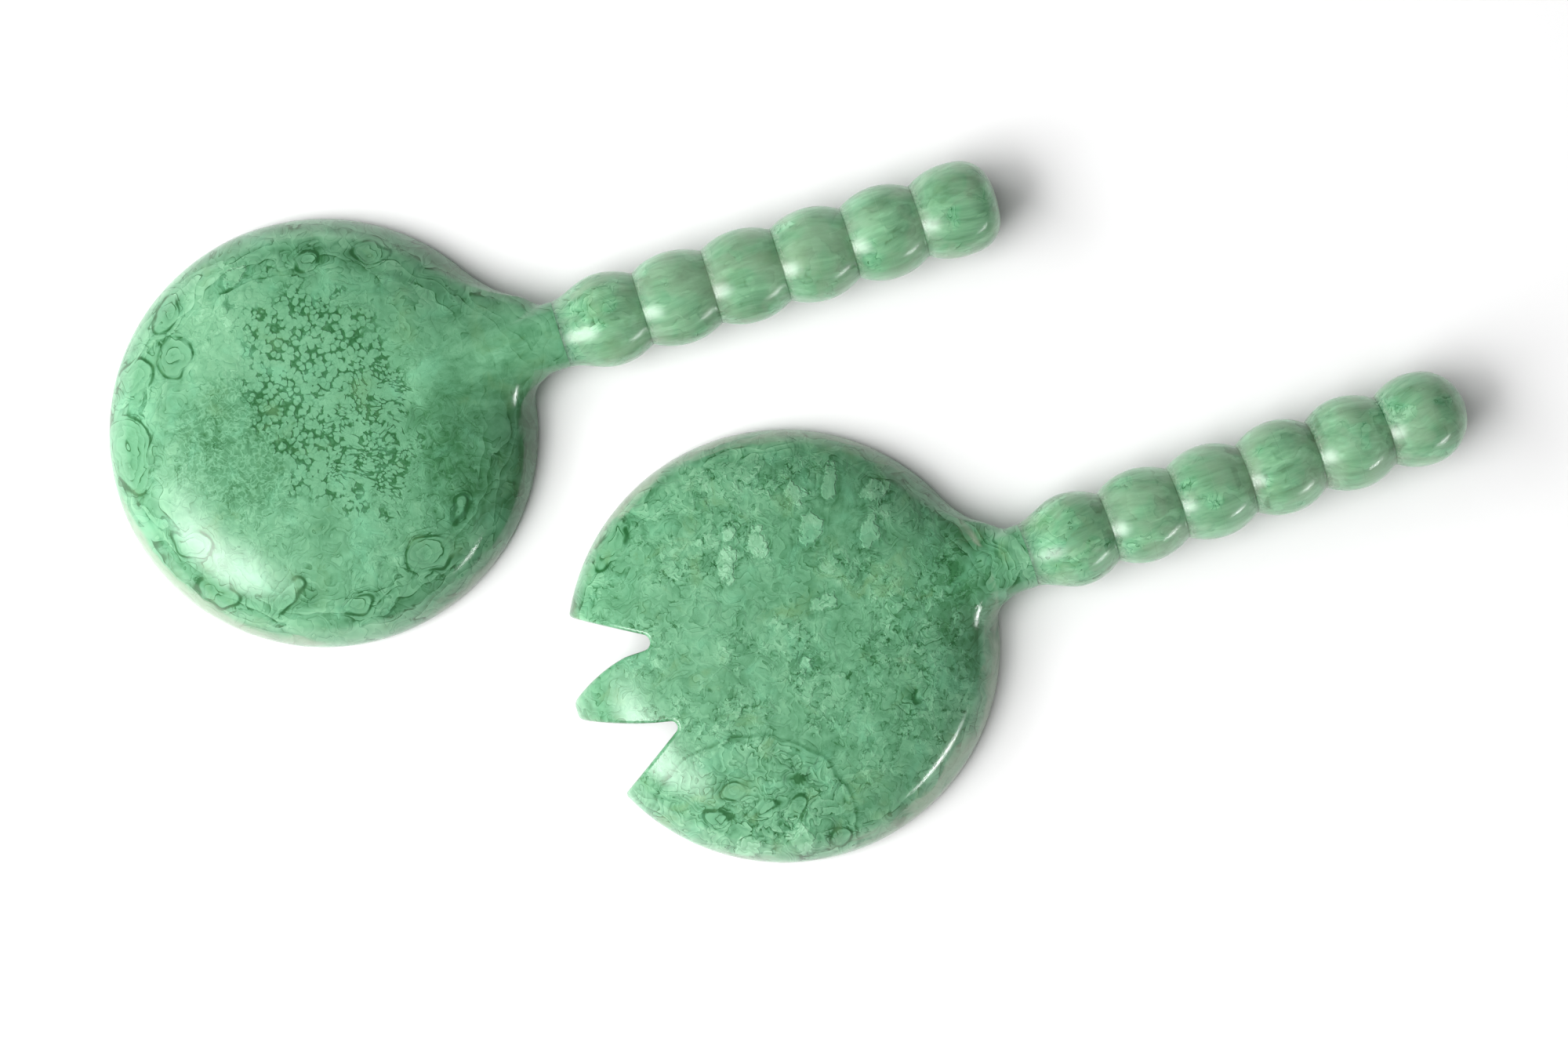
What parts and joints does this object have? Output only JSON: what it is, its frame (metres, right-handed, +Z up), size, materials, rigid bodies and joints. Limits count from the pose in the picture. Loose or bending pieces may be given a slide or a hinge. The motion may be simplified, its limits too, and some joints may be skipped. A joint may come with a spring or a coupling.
{
  "type": "salad server pair",
  "caption": "Salad servers in marbled cast resin: a round spoon and a notched fork on beaded handles, lying back up.",
  "frame": {"origin": "on the table surface under the centre of the pair's box", "axes": "+Z up from the table, +X along the spoon from its head to its handle's tip, +Y from the fork towards the spoon"},
  "size_m": [0.3512, 0.2082, 0.0254],
  "materials": {
    "spoon_head_resin": "gloss",
    "spoon_handle_resin": "gloss",
    "fork_head_resin": "gloss",
    "fork_handle_resin": "gloss"
  },
  "bodies": {
    "spoon": {"spoon_head": "spoon_head_resin", "spoon_handle": "spoon_handle_resin"},
    "fork": {"fork_head": "fork_head_resin", "fork_handle": "fork_handle_resin"}
  },
  "joints": [
    {"name": "fork_lift", "type": "slide", "parent": "spoon", "child": "fork", "axis": [0, 0, 1], "range_m": [0, 0.3]}
  ]
}
